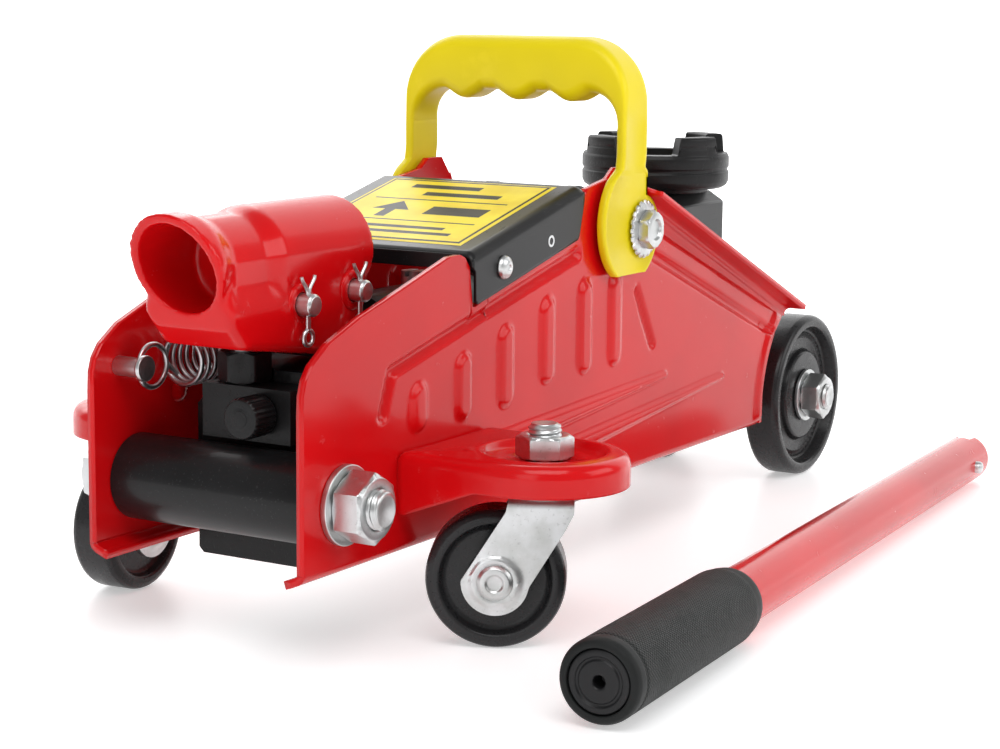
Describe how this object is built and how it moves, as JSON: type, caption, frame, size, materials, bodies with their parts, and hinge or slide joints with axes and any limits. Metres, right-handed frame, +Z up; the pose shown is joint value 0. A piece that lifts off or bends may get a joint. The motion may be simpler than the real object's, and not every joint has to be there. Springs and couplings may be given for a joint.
{
  "type": "hydraulic trolley jack",
  "caption": "Low hydraulic trolley jack with pressed side plates, swivelling rear casters, folding carry handle and a separate pump handle.",
  "frame": {"origin": "centre of the footprint of the jack and its pump handle, on the floor", "axes": "+X towards the saddle end, +Y to the left of the jack, +Z up"},
  "size_m": [0.4734, 0.2862, 0.212],
  "materials": {
    "red_enamel": "gloss baked enamel",
    "black_paint": "satin black paint",
    "black_casting": "black painted casting",
    "zinc": "bright zinc plate",
    "bright_steel": "ground steel",
    "spring_wire": "plated spring wire",
    "black_wheel": "semi-gloss moulded wheel",
    "yellow_plastic": "semi-matte moulded plastic",
    "label_yellow": "printed film",
    "grip_foam": "knurled grip",
    "black_plastic": "moulded cap",
    "seal_rubber": "seal"
  },
  "bodies": {
    "frame": {"side_plate_left": "red_enamel", "side_plate_right": "red_enamel", "caster_bracket_left": "red_enamel", "caster_bracket_right": "red_enamel", "caster_studs": "zinc", "caster_stud_nuts": "zinc", "swivel_races": "zinc", "rear_cross_tube": "black_paint", "rear_tie_rod": "zinc", "tie_rod_washers": "zinc", "tie_rod_nuts": "zinc", "front_axle": "zinc", "axle_washers": "zinc", "axle_nuts": "zinc", "hydraulic_base": "black_casting", "hydraulic_cylinder": "black_paint", "cylinder_gland": "zinc", "filler_plug": "zinc", "pump_barrel": "black_casting", "lift_shaft": "bright_steel", "rod_studs": "zinc", "cover_screws": "zinc", "cover": "black_paint", "label_plate": "label_yellow", "carry_washers": "zinc", "carry_bolts": "zinc", "return_spring": "spring_wire", "spring_anchor_pin": "zinc"},
    "lift_arm": {"lift_arm": "black_paint", "saddle_pin": "zinc"},
    "saddle_bracket": {"saddle_bracket": "black_paint", "rod_pin": "zinc"},
    "saddle": {"saddle": "black_casting"},
    "radius_rods": {"radius_rods": "black_paint"},
    "ram": {"ram_rod": "bright_steel", "ram_piston": "bright_steel", "piston_seal": "seal_rubber", "crosshead": "black_casting", "drive_pin": "bright_steel"},
    "handle_socket": {"handle_socket": "red_enamel", "pump_pin": "zinc", "split_pins": "zinc", "socket_pivot_pin": "zinc"},
    "pump_plunger": {"pump_plunger": "bright_steel"},
    "release_valve": {"release_valve": "black_casting"},
    "carry_handle": {"carry_handle": "yellow_plastic"},
    "front_wheel_left": {"front_wheel_left": "black_wheel"},
    "front_wheel_right": {"front_wheel_right": "black_wheel"},
    "caster_left": {"caster_fork_left": "zinc", "caster_rivet_left": "zinc"},
    "caster_right": {"caster_fork_right": "zinc", "caster_rivet_right": "zinc"},
    "caster_wheel_left": {"caster_wheel_left": "black_wheel"},
    "caster_wheel_right": {"caster_wheel_right": "black_wheel"},
    "pump_handle": {"handle_tube": "red_enamel", "handle_grip": "grip_foam", "grip_end_cap": "black_plastic"},
    "snap_button": {"handle_button": "zinc"}
  },
  "joints": [
    {"name": "lift", "type": "hinge", "parent": "frame", "child": "lift_arm", "pos_m": [0.00595, 0.02414, 0.135], "axis": [0, -1, 0], "range_deg": [0, 75.65]},
    {"name": "saddle_level", "type": "hinge", "parent": "lift_arm", "child": "saddle_bracket", "pos_m": [0.11395, 0.02414, 0.071], "axis": [0, -1, 0], "range_deg": [-76.65, 1]},
    {"name": "saddle_swivel", "type": "hinge", "parent": "saddle_bracket", "child": "saddle", "pos_m": [0.11795, 0.02414, 0.143], "axis": [0, 0, 1], "continuous": true},
    {"name": "radius_rods_swing", "type": "hinge", "parent": "frame", "child": "radius_rods", "pos_m": [0.00595, 0.02414, 0.111], "axis": [0, -1, 0], "range_deg": [-1, 76.65]},
    {"name": "ram_travel", "type": "slide", "parent": "frame", "child": "ram", "axis": [1, 0, 0], "range_m": [-0.001, 0.06001], "deforming": ["return_spring"]},
    {"name": "pump_stroke", "type": "hinge", "parent": "frame", "child": "handle_socket", "pos_m": [-0.15355, 0.02414, 0.1238], "axis": [0, 1, 0], "range_deg": [0, 45]},
    {"name": "plunger_travel", "type": "slide", "parent": "frame", "child": "pump_plunger", "axis": [0, 0, 1], "range_m": [-0.001, 0.02327]},
    {"name": "release_turn", "type": "hinge", "parent": "frame", "child": "release_valve", "pos_m": [-0.19505, 0.01414, 0.084], "axis": [1, 0, 0], "range_deg": [0, 180]},
    {"name": "carry_fold", "type": "hinge", "parent": "frame", "child": "carry_handle", "pos_m": [0.00595, 0.02414, 0.135], "axis": [0, -1, 0], "range_deg": [0, 42]},
    {"name": "front_wheel_left_spin", "type": "hinge", "parent": "frame", "child": "front_wheel_left", "pos_m": [0.19795, 0.06064, 0.0387], "axis": [0, 1, 0], "continuous": true},
    {"name": "front_wheel_right_spin", "type": "hinge", "parent": "frame", "child": "front_wheel_right", "pos_m": [0.19795, -0.01236, 0.0387], "axis": [0, 1, 0], "continuous": true},
    {"name": "caster_left_swivel", "type": "hinge", "parent": "frame", "child": "caster_left", "pos_m": [-0.13505, 0.11264, 0.0565], "axis": [0, 0, 1], "continuous": true},
    {"name": "caster_right_swivel", "type": "hinge", "parent": "frame", "child": "caster_right", "pos_m": [-0.13505, -0.06436, 0.0565], "axis": [0, 0, 1], "continuous": true},
    {"name": "caster_wheel_left_spin", "type": "hinge", "parent": "caster_left", "child": "caster_wheel_left", "pos_m": [-0.15151, 0.11149, 0.025], "axis": [0.0698, -0.9976, 0], "continuous": true},
    {"name": "caster_wheel_right_spin", "type": "hinge", "parent": "caster_right", "child": "caster_wheel_right", "pos_m": [-0.1428, -0.04979, 0.025], "axis": [-0.8829, -0.4695, 0], "continuous": true},
    {"name": "handle_lift_off", "type": "slide", "parent": "frame", "child": "pump_handle", "axis": [0, 0, 1], "range_m": [0, 0.3]},
    {"name": "button_press", "type": "slide", "parent": "pump_handle", "child": "snap_button", "axis": [-0.0855, 0.9963, 0], "range_m": [0, 0.004], "stiffness_N_per_m": 200}
  ],
  "couplings": [
    {"joint": "saddle_level", "follows": "lift", "ratio": -1},
    {"joint": "radius_rods_swing", "follows": "lift", "ratio": 1},
    {"joint": "ram_travel", "follows": "lift", "m_per_rad": 0.044689},
    {"joint": "plunger_travel", "follows": "pump_stroke", "m_per_rad": 0.02836}
  ]
}
